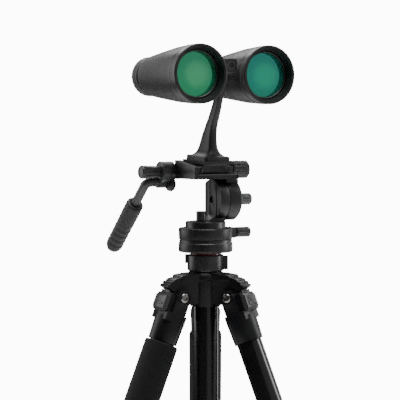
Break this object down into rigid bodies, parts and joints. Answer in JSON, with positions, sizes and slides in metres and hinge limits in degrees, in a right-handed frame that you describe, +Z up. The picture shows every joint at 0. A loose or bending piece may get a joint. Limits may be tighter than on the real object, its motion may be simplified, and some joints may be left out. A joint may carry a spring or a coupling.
{
  "type": "astronomy binoculars on a tripod",
  "caption": "Roof-prism binoculars on a curved adapter, a pan and tilt head with a handle, and a folding tripod.",
  "frame": {"origin": "on the floor, on the axis of the centre column", "axes": "+Z up; the objectives face -Y; +X is to the right of a person facing the objectives"},
  "size_m": [0.3675, 0.4153, 0.7153],
  "materials": {
    "cast_black": "satin powder coat on a casting",
    "head_black": "satin black anodised",
    "gloss_tube": "gloss black anodised tube",
    "inner_tube": "satin black anodised tube",
    "red_anodised": "dark red anodised",
    "bolt_steel": "bright steel",
    "knurled_grey": "knurled grey metal",
    "knob_black": "satin black moulding",
    "rod_grey": "satin dark grey",
    "grip_rubber": "dark grey moulded rubber",
    "pad_rubber": "matte black",
    "adapter_black": "satin charcoal powder coat",
    "barrel_metal": "matte black",
    "armour_rubber": "satin charcoal rubber",
    "eyecup_rubber": "matte black rubber",
    "coated_glass": "green multi-coated",
    "plain_glass": "clear",
    "foam": "closed-cell foam",
    "lock_rubber": "ribbed rubber over a plastic nut",
    "foot_rubber": "matte rubber"
  },
  "bodies": {
    "crown": {"crown_casting": "cast_black", "leg_hinge_bolts": "bolt_steel"},
    "collar": {"column_collar": "knob_black"},
    "column": {"center_column": "gloss_tube", "column_top_plate": "red_anodised", "ballast_hook": "bolt_steel", "pan_base": "head_black"},
    "pan": {"pan_body": "head_black"},
    "pan_lock": {"pan_lock_knob": "knob_black"},
    "tension": {"tension_knob": "knob_black"},
    "tilt_lock": {"tilt_knob": "knurled_grey"},
    "platform": {"clamp_platform": "head_black"},
    "jaw": {"clamp_jaw": "head_black"},
    "clamp": {"clamp_knob": "knob_black"},
    "handle": {"handle_arm": "rod_grey", "handle_grip": "grip_rubber"},
    "handle_lock": {"handle_knob": "knob_black"},
    "adapter": {"quick_release_plate": "head_black", "camera_screw": "bolt_steel", "adapter_pad": "pad_rubber", "adapter_bracket": "adapter_black", "hinge_core": "barrel_metal"},
    "binocular_screw": {"adapter_screw": "knob_black"},
    "focus": {"focus_shaft": "bolt_steel", "focus_wheel": "armour_rubber"},
    "dioptre": {"dioptre_ring": "barrel_metal"},
    "left_barrel": {"left_barrel_shell": "barrel_metal", "left_rubber_armour": "armour_rubber", "left_objective_lens": "coated_glass", "left_roof_prism": "plain_glass", "left_eye_lens": "plain_glass"},
    "left_focusing": {"left_focusing_lens": "plain_glass"},
    "left_cup": {"left_eyecup": "eyecup_rubber"},
    "right_barrel": {"right_barrel_shell": "barrel_metal", "right_rubber_armour": "armour_rubber", "right_objective_lens": "coated_glass", "right_roof_prism": "plain_glass", "right_eye_lens": "plain_glass"},
    "right_focusing": {"right_focusing_lens": "plain_glass"},
    "right_cup": {"right_eyecup": "eyecup_rubber"},
    "leg_1": {"leg_1_yoke": "cast_black", "leg_1_upper_tube": "gloss_tube", "leg_1_foam_sleeve": "foam"},
    "leg_1_tab": {"leg_1_angle_tab": "knob_black"},
    "leg_1_lock": {"leg_1_twist_lock": "lock_rubber"},
    "leg_1_lower": {"leg_1_lower_tube": "inner_tube", "leg_1_foot": "foot_rubber"},
    "leg_2": {"leg_2_yoke": "cast_black", "leg_2_upper_tube": "gloss_tube", "leg_2_foam_sleeve": "foam"},
    "leg_2_tab": {"leg_2_angle_tab": "knob_black"},
    "leg_2_lock": {"leg_2_twist_lock": "lock_rubber"},
    "leg_2_lower": {"leg_2_lower_tube": "inner_tube", "leg_2_foot": "foot_rubber"},
    "leg_3": {"leg_3_yoke": "cast_black", "leg_3_upper_tube": "gloss_tube"},
    "leg_3_tab": {"leg_3_angle_tab": "knob_black"},
    "leg_3_lock": {"leg_3_twist_lock": "lock_rubber"},
    "leg_3_lower": {"leg_3_lower_tube": "inner_tube", "leg_3_foot": "foot_rubber"}
  },
  "joints": [
    {"name": "leg_1_fold", "type": "hinge", "parent": "crown", "child": "leg_1", "pos_m": [0.01412, 0.0259, 0.48677], "axis": [-0.878, 0.4787, 0], "range_deg": [0, 22]},
    {"name": "leg_1_tab_pull", "type": "slide", "parent": "leg_1", "child": "leg_1_tab", "axis": [0.4438, 0.8141, 0.3746], "range_m": [0, 0.005]},
    {"name": "leg_1_lock_turn", "type": "hinge", "parent": "leg_1", "child": "leg_1_lock", "pos_m": [0.01412, 0.0259, 0.48677], "axis": [0.1793, 0.3289, -0.9272], "range_deg": [0, 120]},
    {"name": "leg_1_extend", "type": "slide", "parent": "leg_1", "child": "leg_1_lower", "axis": [0.1793, 0.3289, -0.9272], "range_m": [0, 0.36]},
    {"name": "leg_2_fold", "type": "hinge", "parent": "crown", "child": "leg_2", "pos_m": [-0.02949, -0.00072, 0.48677], "axis": [0.0244, -0.9997, 0], "range_deg": [0, 22]},
    {"name": "leg_2_tab_pull", "type": "slide", "parent": "leg_2", "child": "leg_2_tab", "axis": [-0.9269, -0.0227, 0.3746], "range_m": [0, 0.005]},
    {"name": "leg_2_lock_turn", "type": "hinge", "parent": "leg_2", "child": "leg_2_lock", "pos_m": [-0.02949, -0.00072, 0.48677], "axis": [-0.3745, -0.0092, -0.9272], "range_deg": [0, 120]},
    {"name": "leg_2_extend", "type": "slide", "parent": "leg_2", "child": "leg_2_lower", "axis": [-0.3745, -0.0092, -0.9272], "range_m": [0, 0.36]},
    {"name": "leg_3_fold", "type": "hinge", "parent": "crown", "child": "leg_3", "pos_m": [0.01537, -0.02518, 0.48677], "axis": [0.8536, 0.521, 0], "range_deg": [0, 22]},
    {"name": "leg_3_tab_pull", "type": "slide", "parent": "leg_3", "child": "leg_3_tab", "axis": [0.4831, -0.7914, 0.3746], "range_m": [0, 0.005]},
    {"name": "leg_3_lock_turn", "type": "hinge", "parent": "leg_3", "child": "leg_3_lock", "pos_m": [0.01537, -0.02518, 0.48677], "axis": [0.1952, -0.3197, -0.9272], "range_deg": [0, 120]},
    {"name": "leg_3_extend", "type": "slide", "parent": "leg_3", "child": "leg_3_lower", "axis": [0.1952, -0.3197, -0.9272], "range_m": [0, 0.36]},
    {"name": "collar_turn", "type": "hinge", "parent": "crown", "child": "collar", "pos_m": [0, 0, 0.51477], "axis": [0, 0, 1], "range_deg": [0, 90]},
    {"name": "column_rise", "type": "slide", "parent": "crown", "child": "column", "axis": [0, 0, 1], "range_m": [0, 0.24]},
    {"name": "pan_turn", "type": "hinge", "parent": "column", "child": "pan", "pos_m": [0, 0, 0.53877], "axis": [0, 0, 1], "continuous": true},
    {"name": "pan_lock_turn", "type": "hinge", "parent": "pan", "child": "pan_lock", "pos_m": [0.035, 0, 0.54417], "axis": [1, 0, 0], "range_deg": [0, 360]},
    {"name": "tension_turn", "type": "hinge", "parent": "pan", "child": "tension", "pos_m": [-0.008, -0.006, 0.55977], "axis": [0, 0, 1], "range_deg": [0, 360]},
    {"name": "tilt_lock_turn", "type": "hinge", "parent": "pan", "child": "tilt_lock", "pos_m": [0.03, 0, 0.57497], "axis": [1, 0, 0], "range_deg": [0, 360]},
    {"name": "tilt_turn", "type": "hinge", "parent": "pan", "child": "platform", "pos_m": [0.016, 0, 0.57497], "axis": [1, 0, 0], "range_deg": [-48, 30]},
    {"name": "clamp_turn", "type": "hinge", "parent": "platform", "child": "clamp", "pos_m": [0.025, 0, 0.60257], "axis": [1, 0, 0], "range_deg": [0, 720]},
    {"name": "jaw_open", "type": "slide", "parent": "platform", "child": "jaw", "axis": [1, 0, 0], "range_m": [0, 0.002]},
    {"name": "handle_swing", "type": "hinge", "parent": "platform", "child": "handle", "pos_m": [-0.03, 0.025, 0.60057], "axis": [1, 0, 0], "range_deg": [-45, 90]},
    {"name": "handle_lock_turn", "type": "hinge", "parent": "platform", "child": "handle_lock", "pos_m": [-0.045, 0.025, 0.60057], "axis": [1, 0, 0], "range_deg": [0, 360]},
    {"name": "plate_slide", "type": "slide", "parent": "platform", "child": "adapter", "axis": [0, 1, 0], "range_m": [-0.01, 0.01]},
    {"name": "binocular_screw_turn", "type": "hinge", "parent": "adapter", "child": "binocular_screw", "pos_m": [0, -0.047, 0.69677], "axis": [0, 1, 0], "range_deg": [0, 720]},
    {"name": "left_barrel_fold", "type": "hinge", "parent": "adapter", "child": "left_barrel", "pos_m": [0, 0, 0.69677], "axis": [0, 1, 0], "range_deg": [-20, 10]},
    {"name": "right_barrel_fold", "type": "hinge", "parent": "adapter", "child": "right_barrel", "pos_m": [0, 0, 0.69677], "axis": [0, 1, 0], "range_deg": [-10, 20]},
    {"name": "focus_turn", "type": "hinge", "parent": "adapter", "child": "focus", "pos_m": [0, 0.025, 0.69677], "axis": [0, 1, 0], "range_deg": [-270, 270]},
    {"name": "left_lens_focus", "type": "slide", "parent": "left_barrel", "child": "left_focusing", "axis": [0, 1, 0], "range_m": [-0.0035, 0.0035]},
    {"name": "left_eyecup_out", "type": "slide", "parent": "left_barrel", "child": "left_cup", "axis": [0, 1, 0], "range_m": [0, 0.008]},
    {"name": "right_lens_focus", "type": "slide", "parent": "right_barrel", "child": "right_focusing", "axis": [0, 1, 0], "range_m": [-0.0035, 0.0035]},
    {"name": "right_eyecup_out", "type": "slide", "parent": "right_barrel", "child": "right_cup", "axis": [0, 1, 0], "range_m": [0, 0.008]},
    {"name": "dioptre_turn", "type": "hinge", "parent": "right_barrel", "child": "dioptre", "pos_m": [0.035, 0.034, 0.68877], "axis": [0, 1, 0], "range_deg": [-40, 40]}
  ],
  "couplings": [
    {"joint": "clamp_turn", "follows": "jaw_open", "rad_per_m": 6283.2},
    {"joint": "right_barrel_fold", "follows": "left_barrel_fold", "ratio": -1},
    {"joint": "focus_turn", "follows": "left_lens_focus", "rad_per_m": 1346.4},
    {"joint": "right_lens_focus", "follows": "left_lens_focus", "ratio": 1}
  ]
}
